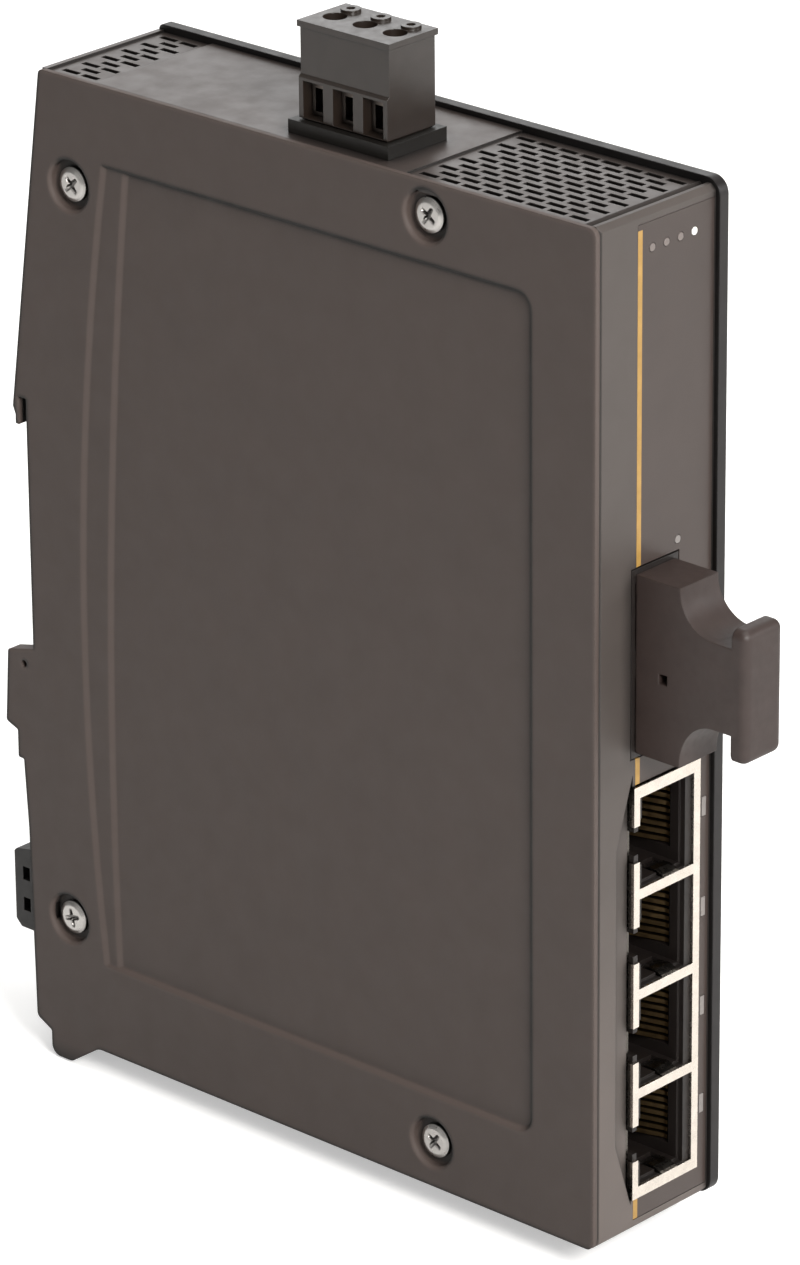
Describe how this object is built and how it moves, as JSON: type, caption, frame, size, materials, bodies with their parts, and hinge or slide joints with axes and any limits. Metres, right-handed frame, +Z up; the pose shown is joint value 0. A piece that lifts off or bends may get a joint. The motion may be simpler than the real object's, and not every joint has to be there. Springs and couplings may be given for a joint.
{
  "type": "DIN rail ethernet switch",
  "caption": "Slim DIN rail ethernet switch with RJ45 ports, a capped duplex fibre port and a screw terminal power plug.",
  "frame": {"origin": "middle of the rail seat, on the face that rests on the front of the 35 mm rail, at the rail centre line", "axes": "+Y out of the rear face towards the wall, -Y out of the front with the ports, +Z up, X along the rail"},
  "size_m": [0.024, 0.1248, 0.1568],
  "materials": {
    "case_side": "fine textured powder coat",
    "case_top": "satin powder coat",
    "cover_black": "satin black powder coat",
    "film": "satin printed film",
    "screw_steel": "bright zinc plated",
    "shield_tin": "bright tin plated",
    "black_plastic": "moulded, matte",
    "cap_rubber": "soft satin",
    "contact_gold": "gold plated",
    "board_green": "solder mask",
    "chip_black": "moulded",
    "bare_aluminium": "anodised",
    "clear_plastic": "clear moulded, frosted tips",
    "lamp_white": "lamp body",
    "spring_steel": "spring steel",
    "ferrite": "ferrite"
  },
  "bodies": {
    "case": {"left_cover": "case_side", "right_cover": "cover_black", "chassis": "case_top", "front_bezel": "case_side", "front_film": "film", "cover_screws": "screw_steel", "circuit_board": "board_green", "board_screws": "screw_steel", "switch_chip": "chip_black", "heat_sink": "bare_aluminium", "port_magnetics_upper": "chip_black", "port_magnetics_lower": "chip_black", "storage_capacitors": "bare_aluminium", "power_inductor": "ferrite", "input_choke": "ferrite", "crystal": "bare_aluminium", "memory_chip": "chip_black", "power_controller": "chip_black", "input_fuse": "lamp_white", "board_leds": "lamp_white", "status_light_pipe": "clear_plastic", "fibre_light_pipe": "clear_plastic", "port_light_pipe": "clear_plastic", "jack_shield": "shield_tin", "jack_housing": "black_plastic", "fibre_module": "black_plastic", "power_header": "black_plastic", "header_pins": "shield_tin", "latch_spring": "spring_steel", "jack_contacts_port_1": "contact_gold", "jack_contacts_port_2": "contact_gold", "jack_contacts_port_3": "contact_gold", "jack_contacts_port_4": "contact_gold"},
    "latch": {"latch_slider": "black_plastic"},
    "power_plug": {"terminal_plug": "black_plastic", "plug_clamps": "shield_tin", "plug_screws": "screw_steel", "plug_contacts": "shield_tin"},
    "fibre_cap": {"dust_cap": "cap_rubber"}
  },
  "joints": [
    {"name": "latch_slide", "type": "slide", "parent": "case", "child": "latch", "axis": [0, 0, 1], "range_m": [-0.005, 0], "stiffness_N_per_m": 1000, "springref_m": 0.008, "deforming": ["latch_spring"]},
    {"name": "power_plug_lift", "type": "slide", "parent": "case", "child": "power_plug", "axis": [0, 0, 1], "range_m": [0, 0.012]},
    {"name": "fibre_cap_pull", "type": "slide", "parent": "case", "child": "fibre_cap", "axis": [0, -1, 0], "range_m": [0, 0.014]}
  ]
}
